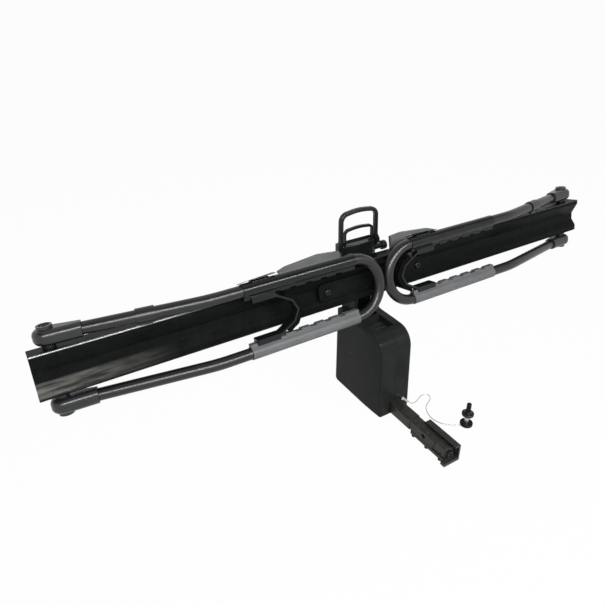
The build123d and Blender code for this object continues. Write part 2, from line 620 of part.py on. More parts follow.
def knuckle():
    """Cast end of a leg: round about the hinge, with a boss outside and a socket for the tube."""
    x, n = leg_point(KNUCKLE_LENGTH)
    round_end = Pos(HINGE_X, HINGE_N) * Circle(KNUCKLE_END_R)
    mouth = Pos(x, n) * Rot(0, 0, -LEG_ANGLE) * Rectangle(2, 2 * KNUCKLE_HALF)
    outline = make_hull(round_end.edges() + mouth.edges())
    side = Plane(origin=(0, LEG_V, 0), x_dir=(1, 0, 0), z_dir=(0, -1, 0))
    body = extrude(side * outline, KNUCKLE_HALF, both=True)
    rims = body.edges().group_by(Axis.Y)[0] + body.edges().group_by(Axis.Y)[-1]
    body = fillet([edge for edge in rims if edge.center().X > x + 3], KNUCKLE_EDGE)
    body += post(BOSS_R, HINGE_X, HINGE_N, (LEG_V, LEG_V + KNUCKLE_HALF + BOSS_HEIGHT))
    body -= extrude(leg_plane(KNUCKLE_LENGTH + 5) * Circle(TUBE_R + PRESS), KNUCKLE_LENGTH + 5 - TUBE_STOP)
    body -= post(BOSS_RECESS_R, HINGE_X, HINGE_N, (HINGE_SEAT, FAR))
    return body - post(HINGE_BOLT_R + RUN, HINGE_X, HINGE_N, (0, FAR))


def collar():
    distance = COLLAR_INSET / math.cos(math.radians(LEG_ANGLE))
    ring = Circle(TUBE_R + 2.8) - Circle(TUBE_R + PRESS)
    body = extrude(leg_plane(distance) * ring, COLLAR_LENGTH / 2, both=True)
    x, n = leg_point(distance)
    tab = Pos(x, LEG_V - TUBE_R - 3, n) * Rot(0, LEG_ANGLE, 0) * Box(COLLAR_LENGTH * 0.6, 8, 9)
    body += tab
    return body - extrude(leg_plane(distance) * Circle(TUBE_R + PRESS), COLLAR_LENGTH, both=True)


def rail():
    """Sleeve on the upper leg with a notched ridge toward the other leg."""
    x = (TURN_X, RAIL_END_X)
    sleeve = rod(RAIL_R, x, (LEG_V, 0))
    ridge = block(x, (RIDGE_FACE, LEG_V - TUBE_R), (-RIDGE_WIDTH / 2, RIDGE_WIDTH / 2))
    ridge = fillet(ridge.edges().filter_by(Axis.X).group_by(Axis.Y)[0], 2)
    body = sleeve + ridge - rod(TUBE_R + PRESS, (0, LEG_BEND_X), (LEG_V, 0))
    for i in range(NOTCH_COUNT):
        middle = NOTCH_FIRST_X + i * NOTCH_PITCH
        body -= block((middle - NOTCH_LENGTH / 2, middle + NOTCH_LENGTH / 2),
                      (RIDGE_FACE - 5, RIDGE_FACE + NOTCH_DEPTH), (-20, 20))
    return body


# Wheel hooks, drawn for the right hand side with the inside of the nose at x = 0

def hook_line():
    """Inside line of the hook, from the upper foot round the nose to the lower foot."""
    half = [(HOOK_LENGTH, HOOK_HALF), (50, HOOK_HALF), (12, 0.53 * HOOK_HALF), (0, 0)]
    return half + [(x, -v) for x, v in half[-2::-1]]


def hook_band():
    line = hook_line()
    outline = FilletPolyline(*strip(line, -HOOK_BAND, 0), radius=2.2, close=True)
    band = extrude(make_face(outline), HOOK_WIDTH / 2, both=True)
    x = (HOOK_LENGTH - HOOK_FOOT, HOOK_LENGTH)
    w, r = HOOK_WIDTH / 2, RIDGE_WIDTH / 2 + CLEAR
    foot = block(x, (HOOK_HALF, FOOT_FACE), (-w, w))
    foot = fillet(foot.edges().filter_by(Axis.Z).sort_by(Axis.X)[-2:], 2)
    for z in ((-w, -r), (r, w)):
        foot += block(x, (FOOT_FACE, FOOT_FACE + CLAW_DEPTH), z)
    foot -= block((x[1] - 26, x[1] - 8), (HOOK_HALF - 1, HOOK_HALF + 1.6), (-5, 5))
    return band + foot + lower(foot)


def hook_pad():
    """Ribbed rubber on the outside of the nose."""
    line = hook_line()
    (ax, av), (bx, bv) = line[1], line[2]
    start = (ax + 0.42 * (bx - ax), av + 0.42 * (bv - av))
    path = [start] + line[2:-2] + [(start[0], -start[1])]
    outer = HOOK_BAND + PAD_THICK
    base = make_face(Polyline(*strip(path, -HOOK_BAND - PAD_BASE, -HOOK_BAND - PRESS), close=True))
    ribs = make_face(Polyline(*strip(path, -outer, -HOOK_BAND - PAD_BASE + 0.5), close=True))
    body = extrude(base, HOOK_WIDTH / 2, both=True)
    pitch = HOOK_WIDTH / PAD_RIBS
    for i in range(PAD_RIBS):
        middle = (i - (PAD_RIBS - 1) / 2) * pitch
        body += Pos(0, 0, middle - 0.3 * pitch) * extrude(ribs, 0.6 * pitch)
    return body


def hook_saddle():
    """Half collar that ties the upper foot to its lever, behind the rail."""
    x = (SADDLE_START, SADDLE_START + SADDLE_LENGTH)
    ring = rod(SADDLE_R + SADDLE_WALL, x, (LEG_V, 0)) - rod(SADDLE_R, (x[0] - 1, x[1] + 1), (LEG_V, 0))
    ring -= block((x[0] - 1, x[1] + 1), (0, LEG_V), (-RIDGE_WIDTH / 2 - CLEAR, 60))
    ring -= block((x[0] - 1, x[1] + 1), (0, FOOT_FACE + CLAW_DEPTH + 0.2), (-60, 60))
    return ring - block((x[0] - 1, x[1] + 1), (LEG_V - 1, 200), (8, 60))


def hook_lever():
    """Flat thumb lever over the saddle, with its free end down beside the tube."""
    x0, x1 = LEVER_START, LEVER_START + LEVER_LENGTH
    level = SADDLE_START + SADDLE_LENGTH + CLEAR
    low, high = LEVER_R, LEVER_R + LEVER_THICK
    profile = [(x0, low), (level, low), (x1, low - LEVER_DROP), (x1, high - LEVER_DROP - 2),
               (x0 + 8, high), (x0, high - 1.5)]
    body = extrude(make_face(Polyline(*profile, close=True)), LEVER_WIDTH / 2, both=True)
    return Pos(0, LEG_V, 0) * Rot(-LEVER_TURN, 0, 0) * body


# Lanyard and loose hitch pin, lying on the ground beside the bar

def ferrule_end():
    """Lower end of the ferrule, where the cable leaves it."""
    return (45.0, COVER_FRONT_Y - FERRULE_R - CLEAR, -3.0)


def lanyard_anchor():
    """Screw on the housing's front with the cable's crimped ferrule."""
    x, y, z = ferrule_end()
    step = FERRULE_LENGTH / math.sqrt(2)
    direction = Plane(origin=(x, y, z), z_dir=(-1, 0, 1))
    ferrule = extrude(direction * Circle(FERRULE_R), FERRULE_LENGTH)
    top = z + step
    face = COVER_FRONT_Y + COVER_RAKE * (top - COVER_FLOOR_Z) / (COVER_TOP_Z - COVER_FLOOR_Z)
    return ferrule + post(FERRULE_SCREW_R, x - step, top, (y - 4, face - CLEAR - 0.2))


CABLE_HEIGHT = GROUND_Z + CABLE / 2
CABLE_POINTS = [
    ferrule_end(), (57, 130, -15), (74, 137, -28), (95, 143, CABLE_HEIGHT), (121, 156, CABLE_HEIGHT),
    (143, 146, CABLE_HEIGHT), (129, 124, CABLE_HEIGHT), (101, 115, CABLE_HEIGHT), (83, 90, CABLE_HEIGHT),
    (76, 62, CABLE_HEIGHT), (84, 35, CABLE_HEIGHT), (104, 15, CABLE_HEIGHT),
    (PIN_X - PIN_HEAD_R, PIN_Y + 4, CABLE_HEIGHT)]


def cable_radii(points):
    """Tangent arcs as large as the runs beside each point allow."""
    radii = []
    for before, here, after in zip(points, points[1:], points[2:]):
        into = Vector(*here) - Vector(*before)
        out = Vector(*after) - Vector(*here)
        half_turn = math.radians(into.get_angle(out)) / 2
        radii.append(0.45 * min(into.length, out.length) / math.tan(half_turn))
    return radii


def lanyard_cable():
    radii = cable_radii(CABLE_POINTS)
    path = FilletPolyline(*CABLE_POINTS, radius=radii)
    tube = sweep((path ^ 0) * Circle(CABLE / 2), path=path)
    expected = math.pi * (CABLE / 2) ** 2 * path.length
    print("cable length", round(path.length, 1), "least bend radius", round(min(radii), 1),
          "volume against section times length", round(tube.volume / expected, 4))
    if min(radii) < CABLE_LEAST_RADIUS:
        print("cable bends too tightly")
    return tube


def hitch_pin():
    """Pin standing on its head."""
    z = GROUND_Z
    head = Pos(PIN_X, PIN_Y, z + PIN_HEAD_H / 2) * Cylinder(PIN_HEAD_R, PIN_HEAD_H)
    head = fillet(head.edges(), 2)
    shank = Pos(PIN_X, PIN_Y, z + PIN_LENGTH / 2) * Cylinder(PIN_R, PIN_LENGTH)
    return head + chamfer(shank.edges().sort_by(Axis.Z)[-1:], 1.5)


def pin_cap():
    z = GROUND_Z + PIN_CAP_Z + PIN_CAP_H / 2
    cap = fillet((Pos(PIN_X, PIN_Y, z) * Cylinder(PIN_CAP_R, PIN_CAP_H)).edges(), 2)
    collar_part = Pos(PIN_X, PIN_Y, z + PIN_CAP_H) * Cone(PIN_R + 5, PIN_R + 2, PIN_CAP_H)
    return cap + collar_part - Pos(PIN_X, PIN_Y, z) * Cylinder(PIN_R + PRESS, 60)


def hook_pieces(offset):
    """The three pieces of a hook, moved along its rails."""
    place = Pos(HOOK_X + offset, 0, 0)
    return {"hook_band": place * hook_band(), "hook_pad": place * hook_pad(),
            "hook_saddle": place * hook_saddle(), "hook_lever": place * hook_lever()}


def build():
    pieces = {
        "hitch_bar": hitch_bar(), "end_wedge": end_wedge(), "wedge_bolt": wedge_bolt(),
        "bar_sleeve": bar_sleeve(), "hitch_adapter": hitch_adapter(),
        "housing_right": cover(), "housing_left": mirrored(cover()), "pocket_insert": pocket_insert(),
        "upright": upright(), "tilt_pin": tilt_pin(), "lanyard_anchor": lanyard_anchor(),
        "lanyard_cable": lanyard_cable(), "hitch_pin": hitch_pin(), "pin_cap": pin_cap()}
    for letter, y in zip("abc", ADAPTER_BOLT_Y):
        pieces["adapter_bolt_" + letter] = adapter_bolt(y)

    on_tray = {"tray": tray(), "tray_plate": tray_plate(), "tilt_bracket": tilt_bracket(),
               "plate_bolt_left": plate_bolt(-PLATE_BOLT_X), "plate_bolt_right": plate_bolt(PLATE_BOLT_X)}
    right = {"hoop_tube": hoop_tube(), "brace": brace_with_relief()}
    for name, shape in (("neck", neck()), ("hinge_bolt", hinge_bolt()), ("knuckle", knuckle()),
                        ("rail", rail())):
        right[name + "_upper"] = shape
        right[name + "_lower"] = lower(shape)
    right["collar"] = collar()
    for name, shape in right.items():
        on_tray[name + "_right"] = shape
        on_tray[name + "_left"] = mirrored(shape)
    on_tray["brace_left"] = mirrored(brace())
    for name, shape in hook_pieces(0).items():
        on_tray[name + "_right"] = shape
    for name, shape in hook_pieces(HOOK_STEPS * NOTCH_PITCH).items():
        on_tray[name + "_left"] = mirrored(shape)
    for name, shape in on_tray.items():
        pieces[name] = TRAY_FRAME * shape

    for name, shape in (("handle_base", handle_base()), ("grab_handle", grab_handle()),
                        ("release_trigger", release_trigger()), ("handle_knob", handle_knob())):
        pieces[name] = HANDLE_FRAME * shape
    return pieces


for name, shape in build().items():
    solids = shape.solids()
    if len(solids) != 1:
        print(name, "has", len(solids), "solids")
    export_step(Compound(children=list(solids)) if len(solids) > 1 else solids[0],
                "parts/" + name + ".step")
print("parts written")
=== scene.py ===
import json
import math

import bpy
from mathutils import Matrix, Vector

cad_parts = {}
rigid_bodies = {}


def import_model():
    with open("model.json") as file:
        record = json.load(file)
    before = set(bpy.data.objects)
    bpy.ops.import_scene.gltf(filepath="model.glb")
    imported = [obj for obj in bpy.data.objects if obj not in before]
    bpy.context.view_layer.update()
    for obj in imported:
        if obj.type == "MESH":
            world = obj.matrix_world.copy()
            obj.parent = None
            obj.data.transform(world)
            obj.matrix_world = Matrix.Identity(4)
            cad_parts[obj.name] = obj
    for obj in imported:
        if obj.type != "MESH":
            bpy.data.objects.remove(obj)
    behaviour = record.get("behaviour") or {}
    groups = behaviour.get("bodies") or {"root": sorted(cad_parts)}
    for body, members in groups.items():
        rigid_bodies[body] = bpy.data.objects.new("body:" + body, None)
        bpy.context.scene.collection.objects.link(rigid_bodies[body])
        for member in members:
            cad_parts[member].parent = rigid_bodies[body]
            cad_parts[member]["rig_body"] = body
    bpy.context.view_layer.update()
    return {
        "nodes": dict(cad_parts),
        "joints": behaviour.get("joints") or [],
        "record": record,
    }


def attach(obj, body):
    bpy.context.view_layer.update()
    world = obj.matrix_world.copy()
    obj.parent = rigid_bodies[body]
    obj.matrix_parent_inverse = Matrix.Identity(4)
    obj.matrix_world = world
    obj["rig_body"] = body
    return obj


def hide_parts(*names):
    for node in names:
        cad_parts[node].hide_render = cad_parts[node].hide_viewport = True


bl_info = {
    "name": "Hitch bike rack",
    "version": (1, 0, 0),
    "blender": (4, 5, 0),
    "location": "3D View > Sidebar > Bike rack",
    "description": "Dresses the packed hitch bike rack with its edges, mouldings and finishes",
    "category": "Object",
}

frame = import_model()
SLOTS = {part["node"]: part["material_slot"] for part in frame["record"]["subparts"]}
JOINTS = {joint["name"]: joint for joint in frame["joints"]}
MM = 0.001
SIDES = ("left", "right")
ROWS = ("upper", "lower")

# The tray's own frame, as in the part: x along the tray, y up its face, z out of its trough.
# The hoops' hinges stand along its y.
TRAY_UP = Vector(JOINTS["hoop_swing_right"]["axis"])
TRAY_OUT = Vector((1, 0, 0)).cross(TRAY_UP)
HINGE = Vector(JOINTS["hoop_swing_right"]["pos_m"])
HINGE_OUT = -68 * MM
TRAY_MIDDLE = Vector((0, HINGE.y, HINGE.z)) - HINGE_OUT * TRAY_OUT
TRAY_FRAME = Matrix((Vector((1, 0, 0)), TRAY_UP, TRAY_OUT)).transposed().to_4x4()
TRAY_FRAME.translation = TRAY_MIDDLE

# Up the handle, which leans in the tray's frame
HANDLE_LEAN = math.radians(10)
HANDLE_UP = TRAY_FRAME.to_3x3() @ Matrix.Rotation(HANDLE_LEAN, 3, "X") @ Vector((0, 1, 0))

# Heights between which the pin's shank is bare, and how far its coating fades out
PIN_BARE = (-22.2 * MM, 8 * MM)
PIN_FADE = 0.5 * MM

# Where the tray's lower slope is paler: below its middle, between two soft edges, and fading along it from
# its left end. The pale mottling is partly scuffing and partly a painted highlight, the glow of light on
# the slope's left end
SCUFF_HIGHLIGHT_LOW = (47 * MM, 42 * MM)
SCUFF_HIGHLIGHT_HIGH = (17 * MM, 13 * MM)
SCUFF_HIGHLIGHT_ALONG = (-0.85, -0.55)
# Where the tray's bead fades from bare bright metal, which paints the highlight along the upper lip, to
# coated
BEAD_HIGHLIGHT_ALONG = (-0.7, 0.0)


# What a user may change

def colour_property(name, description, value):
    return bpy.props.FloatVectorProperty(
        name=name, description=description, subtype="COLOR", size=4, min=0, max=1, default=from_hex(value))


def length_property(name, description, value):
    """A size in millimetres, kept in metres as Blender does."""
    return bpy.props.FloatProperty(
        name=name, description=description, unit="LENGTH", min=0, default=value * MM)


def from_hex(text):
    """Linear colour of an sRGB hex value."""
    parts = [int(text[i:i + 2], 16) / 255 for i in (1, 3, 5)]
    return [c / 12.92 if c <= 0.04045 else ((c + 0.055) / 1.055) ** 2.4 for c in parts] + [1.0]


class RackColours(bpy.types.PropertyGroup):
    """Colours of the rack's finishes"""
    steel: colour_property("Powder coat", "Colour of the coated steel tubes and bar", "#0f1011")
    aluminium: colour_property("Aluminium coat", "Colour of the coated aluminium tray", "#0e0f0f")
    casting: colour_property("Casting paint", "Colour of the painted castings", "#1a1b1c")
    nylon: colour_property("Nylon", "Colour of the dark moulded plastic", "#202121")
    black_nylon: colour_property("Black nylon", "Colour of the handle's and hooks' plastic", "#121314")
    # A paler grey that paints the light falling on the lower rails and the braces; the upper rails, the
    # same part, are black
    lit_pale_nylon: colour_property("Grey nylon", "Colour of the paler rails and braces", "#5a5b5c")
    rubber: colour_property("Rubber", "Colour of the hooks' pads", "#0d0d0e")
    bolt: colour_property("Bolts", "Colour of the blackened fasteners", "#2c2c2e")
    chafed: colour_property("Chafed coat", "Colour of the chafed patches on the hitch steel", "#353431")
    # Pale mottling on the tray's lower slope: partly scuffing, partly a painted highlight at its left end
    scuff_and_highlight: colour_property("Scuffs", "Colour of the rubbed patches in the tray", "#706f6b")
    # Bright bare metal on the tray's upper bead: a painted highlight along the lip's edge
    rubbed_highlight: colour_property("Rubbed bead", "Colour of the tray's bead where it is rubbed", "#a5a6a8")
    zinc: colour_property("Zinc", "Colour of the plated steel", "#b9babd")
    floor: colour_property("Floor", "Colour of the studio's floor", "#c8c8c8")


class RackSizes(bpy.types.PropertyGroup):
    """Sizes of the rack's edges and small details"""
    edge: length_property("Edge", "Width of the rounding on ordinary edges", 0.6)
    casting_edge: length_property("Casting edge", "Width of the rounding on cast pieces", 1.6)
    brace_edge: length_property("Brace edge", "Width of the braces' slanted edge", 3.4)
    base_rim: length_property("Base rim", "Thickness of the rim round the handle base's top", 2.5)
    bead: length_property("Bead", "Thickness of the tray's rolled bead", 4.0)


# Nodes

def add_node(tree, kind, inputs=None, **settings):
    """Adds one node, with its settings, its values and the links into it."""
    node = tree.nodes.new(kind)
    for name, value in settings.items():
        setattr(node, name, value)
    for name, value in (inputs or {}).items():
        if isinstance(value, bpy.types.NodeSocket):
            tree.links.new(value, node.inputs[name])
        else:
            node.inputs[name].default_value = value
    return node


def new_material(name):
    """An empty material, and the object's own coordinates in metres."""
    material = bpy.data.materials.new(name)
    material.use_nodes = True
    tree = material.node_tree
    tree.nodes.clear()
    place = add_node(tree, "ShaderNodeTexCoord").outputs["Object"]
    return material, tree, place


def close_material(tree, **inputs):
    """Adds the surface shader, with its values by name, and the output."""
    named = {name.replace("_", " "): value for name, value in inputs.items()}
    shader = add_node(tree, "ShaderNodeBsdfPrincipled", named)
    add_node(tree, "ShaderNodeOutputMaterial", {"Surface": shader.outputs["BSDF"]})


def noise(tree, place, size, detail=2.0, **inputs):
    """Noise whose blotches are about so many millimetres wide."""
    values = {"Vector": place, "Scale": 1 / (size * MM), "Detail": detail, **inputs}
    return add_node(tree, "ShaderNodeTexNoise", values).outputs["Fac"]


def spread(tree, value, low, high, start=0.3, end=0.7):
    """Maps a value between two others."""
    ends = {"From Min": start, "From Max": end, "To Min": low, "To Max": high}
    return add_node(tree, "ShaderNodeMapRange", {"Value": value, **ends}).outputs["Result"]


def times(colour, factor):
    """A colour made lighter or darker."""
    return [min(c * factor, 1.0) for c in colour[:3]] + [1.0]


def mixed(tree, factor, first, second):
    return add_node(tree, "ShaderNodeMix", {"Factor": factor, "A": first, "B": second},
                    data_type="RGBA").outputs["Result"]


def bumped(tree, height, strength, distance):
    """Normal from a height, whose depth is given in millimetres."""
    return add_node(tree, "ShaderNodeBump", {
        "Height": height, "Strength": strength, "Distance": distance * MM}).outputs["Normal"]


# Materials

def powder_coated_steel(colours):
    """Polyester powder coat baked on steel tube: semi-gloss, with a faint orange peel and dull smudges."""
    material, tree, place = new_material("powder_coated_steel")
    peel = noise(tree, place, 2.6)
    smudge = noise(tree, place, 60, 4.0)
    coat = mixed(tree, smudge, times(colours.steel, 0.8), times(colours.steel, 1.25))
    close_material(tree, Base_Color=coat, Roughness=spread(tree, smudge, 0.28, 0.36),
                   Normal=bumped(tree, peel, 0.02, 0.1), IOR=1.5)
    return material


def worn_coated_steel(colours):
    """Powder coat on the hitch steel, pitted and chafed by the receiver in patches along it."""
    material, tree, place = new_material("worn_coated_steel")
    along = add_node(tree, "ShaderNodeMapping", {"Vector": place, "Scale": (1.0, 0.35, 1.0)})
    chafe = spread(tree, noise(tree, along.outputs["Vector"], 5, 5.0, Roughness=0.6), 0.15, 1.0, 0.3, 0.75)
    pits = noise(tree, place, 3.2, 4.0)
    close_material(tree, Base_Color=mixed(tree, chafe, colours.steel, colours.chafed),
                   Roughness=spread(tree, pits, 0.26, 0.42), Normal=bumped(tree, pits, 0.3, 0.15), IOR=1.3)
    return material


def coated_aluminium(colours):
    """Extruded aluminium, black coated: drawing lines along it, dull handling marks, dusty patches, and
    pale mottling on the lower slope that is partly scuffing and partly a painted highlight at the left end.
    """
    material, tree, place = new_material("coated_aluminium")
    along = add_node(tree, "ShaderNodeMapping", {"Vector": place, "Scale": (0.004, 1.0, 1.0)})
    lines = noise(tree, along.outputs["Vector"], 1.6, 3.0)
    streaks = noise(tree, along.outputs["Vector"], 14, 3.0)
    smudge = noise(tree, place, 45, 6.0, Roughness=0.62)
    dust = spread(tree, noise(tree, place, 9, 5.0, Roughness=0.7), 0.0, 1.0, 0.5, 0.72)
    coat = mixed(tree, streaks, times(colours.aluminium, 0.75), times(colours.aluminium, 1.5))
    dusty = mixed(tree, spread(tree, smudge, 0.0, 0.5, 0.5, 0.75), coat, times(colours.aluminium, 2.6))
    worn = mixed(tree, dust, dusty, times(colours.aluminium, 1.9))
    # Pale mottling on the lower slope: scuffing, and a painted highlight at the left end
    scuffed_and_highlit = mixed(tree, scuffs_and_highlight(tree, place), worn, colours.scuff_and_highlight)
    close_material(tree, Base_Color=scuffed_and_highlit, Roughness=spread(tree, smudge, 0.26, 0.46),
                   Normal=bumped(tree, lines, 0.18, 0.08), IOR=1.1)
    return material


def scuffs_and_highlight(tree, place):
    """Mottled pale patches on the tray's lower slope, strongest at its left end: partly scuffing, partly a
    painted highlight of the light on that end.
    """
    rise = add_node(tree, "ShaderNodeVectorMath", {0: place, 1: TRAY_UP}, operation="DOT_PRODUCT")
    up = rise.outputs["Value"]
    middle = TRAY_MIDDLE.dot(TRAY_UP)
    above = spread(tree, up, 0.0, 1.0, middle - SCUFF_HIGHLIGHT_LOW[0], middle - SCUFF_HIGHLIGHT_LOW[1])
    below = spread(tree, up, 1.0, 0.0, middle - SCUFF_HIGHLIGHT_HIGH[0], middle - SCUFF_HIGHLIGHT_HIGH[1])
    across = add_node(tree, "ShaderNodeSeparateXYZ", {"Vector": place}).outputs["X"]
    # The fade from the left end paints the highlight there
    left = spread(tree, across, 1.0, 0.0, *SCUFF_HIGHLIGHT_ALONG)
    along = add_node(tree, "ShaderNodeMapping", {"Vector": place, "Scale": (0.12, 1.0, 1.0)})
    share = spread(tree, noise(tree, along.outputs["Vector"], 9, 7.0, Roughness=0.7), 0.15, 0.8, 0.4, 0.64)
    for mask in (above, below, left):
        share = add_node(tree, "ShaderNodeMath", {0: share, 1: mask}, operation="MULTIPLY").outputs[0]
    return share


def painted_casting(colours):
    """Die cast, shot blasted and painted: soft edges with a shallow pebbled skin."""
    material, tree, place = new_material("painted_casting")
    pebble = noise(tree, place, 2.2, 3.0)
    cloud = noise(tree, place, 25, 3.0)
    paint = mixed(tree, cloud, times(colours.casting, 0.8), times(colours.casting, 1.3))
    close_material(tree, Base_Color=paint, Roughness=spread(tree, pebble, 0.26, 0.34),
                   Normal=bumped(tree, pebble, 0.05, 0.1), IOR=1.5)
    return material


def moulded_nylon(colours):
    """Glass filled nylon, moulded in a spark eroded tool: an even grain with little reflection."""
    return nylon("moulded_nylon", colours.nylon, 0.22, 1.13)


def polished_nylon(colours):
    """Black nylon from a polished tool: smooth and semi-gloss."""
    return nylon("polished_nylon", colours.black_nylon, 0.22, 1.35)


def lit_pale_moulded_nylon(colours):
    """The same nylon in a paler grey, which paints the light falling on the lower rails and braces."""
    return nylon("lit_pale_moulded_nylon", colours.lit_pale_nylon, 0.4, 1.3)


def nylon(name, colour, roughness, index):
    """Moulded nylon of a colour, with a fine grain and slow changes of tone."""
    material, tree, place = new_material(name)
    grain = noise(tree, place, 0.9)
    cloud = noise(tree, place, 50, 3.0)
    close_material(tree, Base_Color=mixed(tree, cloud, times(colour, 0.8), times(colour, 1.3)),
                   Roughness=spread(tree, cloud, roughness - 0.04, roughness + 0.06),
                   Normal=bumped(tree, grain, 0.3, 0.1), IOR=index)
    return material


def moulded_rubber(colours):
    """Soft thermoplastic rubber: nearly black, with almost no highlight."""
    material, tree, place = new_material("moulded_rubber")
    grain = noise(tree, place, 1.5)
    skin = mixed(tree, grain, times(colours.rubber, 0.8), times(colours.rubber, 1.4))
    close_material(tree, Base_Color=skin, Roughness=0.7, Normal=bumped(tree, grain, 0.3, 0.1), IOR=1.07)
    return material


def black_oxide_steel(colours):
    """Hot blackened fastener steel: dark, slightly oily, with a tight highlight."""
    material, tree, place = new_material("black_oxide_steel")
    patch = noise(tree, place, 5, 3.0)
    close_material(tree, Base_Color=colours.bolt, Metallic=0.9, Roughness=spread(tree, patch, 0.26, 0.42))
    return material


def highlit_bead_aluminium(colours):
    """The tray's coated bead, bare and bright toward its left end in patches along it: a painted highlight
    along the upper lip's edge.
    """
    material, tree, place = new_material("highlit_bead_aluminium")
    along = add_node(tree, "ShaderNodeMapping", {"Vector": place, "Scale": (0.05, 1.0, 1.0)})
    patch = noise(tree, along.outputs["Vector"], 6, 4.0)
    across = add_node(tree, "ShaderNodeSeparateXYZ", {"Vector": place}).outputs["X"]
    # The bare bright metal paints the highlight along the lip
    bare = mixed(tree, spread(tree, patch, 0.0, 1.0), colours.rubbed_highlight, times(colours.rubbed_highlight, 0.5))
    coated = spread(tree, across, 0.0, 0.9, *BEAD_HIGHLIGHT_ALONG)
    close_material(tree, Base_Color=mixed(tree, coated, bare, colours.aluminium),
                   Metallic=0.8, Roughness=spread(tree, patch, 0.28, 0.45))
    return material


def dipped_pin_steel(colours):
    """Zinc plated pin whose head and upper end are dipped in black plastic."""
    material, tree, place = new_material("dipped_pin_steel")
    height = add_node(tree, "ShaderNodeSeparateXYZ", {"Vector": place}).outputs["Z"]
    above_head = spread(tree, height, 0.0, 1.0, PIN_BARE[0], PIN_BARE[0] + PIN_FADE)
    below_cap = spread(tree, height, 1.0, 0.0, PIN_BARE[1] - PIN_FADE, PIN_BARE[1])
    bare = add_node(tree, "ShaderNodeMath", {0: above_head, 1: below_cap}, operation="MULTIPLY").outputs[0]
    cloud = noise(tree, place, 4, 3.0)
    close_material(tree, Base_Color=mixed(tree, bare, colours.black_nylon, colours.zinc), Metallic=bare,
                   Roughness=spread(tree, cloud, 0.25, 0.4), IOR=1.2)
    return material


def zinc_plated_steel(colours):
    """Zinc plated steel, as on wire rope and its swaged ends: bright, a little cloudy."""
    material, tree, place = new_material("zinc_plated_steel")
    cloud = noise(tree, place, 4, 3.0)
    close_material(tree, Base_Color=colours.zinc, Metallic=1.0, Roughness=spread(tree, cloud, 0.25, 0.45))
    return material


MAKERS = {"black_steel": powder_coated_steel, "worn_steel": worn_coated_steel,
          "black_aluminium": coated_aluminium, "cast_black": painted_casting,
          "moulded_plastic": moulded_nylon, "gloss_plastic": polished_nylon,
          "grey_plastic": lit_pale_moulded_nylon, "rubber": moulded_rubber,
          "dark_bolt": black_oxide_steel, "bright_steel": zinc_plated_steel,
          "rubbed_highlight": highlit_bead_aluminium, "dipped": dipped_pin_steel}
finishes = {}


def finish_of(kind):
    """The one material of a kind, made when it is first asked for."""
    if kind not in finishes:
        finishes[kind] = MAKERS[kind](bpy.context.scene.rack_colours)
    return finishes[kind]


# Working on meshes

MERGE_DISTANCE = 0.002 * MM
# How far faces turn at most in a flat face, and at least at a rounded edge and at a break in the shading
FLAT_TURN = math.radians(0.6)
SHARP_TURN = math.radians(28)
BREAK_TURN = math.radians(40)


def select_only(piece):
    bpy.ops.object.select_all(action="DESELECT")
    piece.select_set(True)
    bpy.context.view_layer.objects.active = piece


def edit(piece):
    select_only(piece)
    bpy.ops.object.mode_set(mode="EDIT")


def leave():
    bpy.ops.object.mode_set(mode="OBJECT")


def pick(piece, test):
    """Leaves a piece in edit mode with only those faces selected whose centre and normal pass the test."""
    edit(piece)
    bpy.ops.mesh.select_mode(type="FACE")
    bpy.ops.mesh.select_all(action="DESELECT")
    leave()
    for face in piece.data.polygons:
        face.select = test(face.center, face.normal)
    bpy.ops.object.mode_set(mode="EDIT")


def copy_of(node, name, join_flat):
    """A copy of a CAD node's mesh, ready to be worked on, whose flat triangles may be joined."""
    piece = bpy.data.objects.new(name, frame["nodes"][node].data.copy())
    bpy.context.scene.collection.objects.link(piece)
    piece.data.materials.clear()
    edit(piece)
    bpy.ops.mesh.select_all(action="SELECT")
    bpy.ops.mesh.remove_doubles(threshold=MERGE_DISTANCE)
    if join_flat:
        bpy.ops.mesh.dissolve_limited(angle_limit=FLAT_TURN)
    leave()
    return piece


def modified(piece, kind, **settings):
    """Applies one modifier."""
    select_only(piece)
    modifier = piece.modifiers.new("step", kind)
    for name, value in settings.items():
        setattr(modifier, name, value)
    bpy.ops.object.modifier_apply(modifier="step")
    return piece


def bevelled(piece, width, segments=3):
    """Rounds a piece's sharp edges by a width in metres."""
    return modified(piece, "BEVEL", width=width, segments=segments, limit_method="ANGLE",
                    angle_limit=SHARP_TURN, use_clamp_overlap=True)


def smoothed(piece, weighted=True):
    """Smooth shading; weighted, it also keeps flat faces flat."""
    select_only(piece)
    bpy.ops.object.shade_smooth_by_angle(angle=BREAK_TURN)
    return modified(piece, "WEIGHTED_NORMAL", keep_sharp=True) if weighted else piece


def settle(piece, body, slot_name, kind=None):
    """Gives a finished piece its material, its slot and the body that it moves with."""
    piece.data.materials.clear()
    piece.data.materials.append(finish_of(kind or slot_name))
    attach(piece, body)
    return piece


def dress(node, width, segments=3, kind=None, shape=None, round_bar=False):
    """Replaces a CAD node by a copy, shaped further and with rounded edges."""
    piece = copy_of(node, node + "_piece", not round_bar)
    if shape:
        shape(piece)
    smoothed(bevelled(piece, width, segments), weighted=not round_bar)
    settle(piece, frame["nodes"][node]["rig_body"], SLOTS[node], kind)
    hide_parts(node)
    return piece


def started(name):
    """Names the primitive that was just added and applies its turn and scale."""
    piece = bpy.context.object
    piece.name = name
    bpy.ops.object.transform_apply(location=True, rotation=True, scale=True)
    return piece


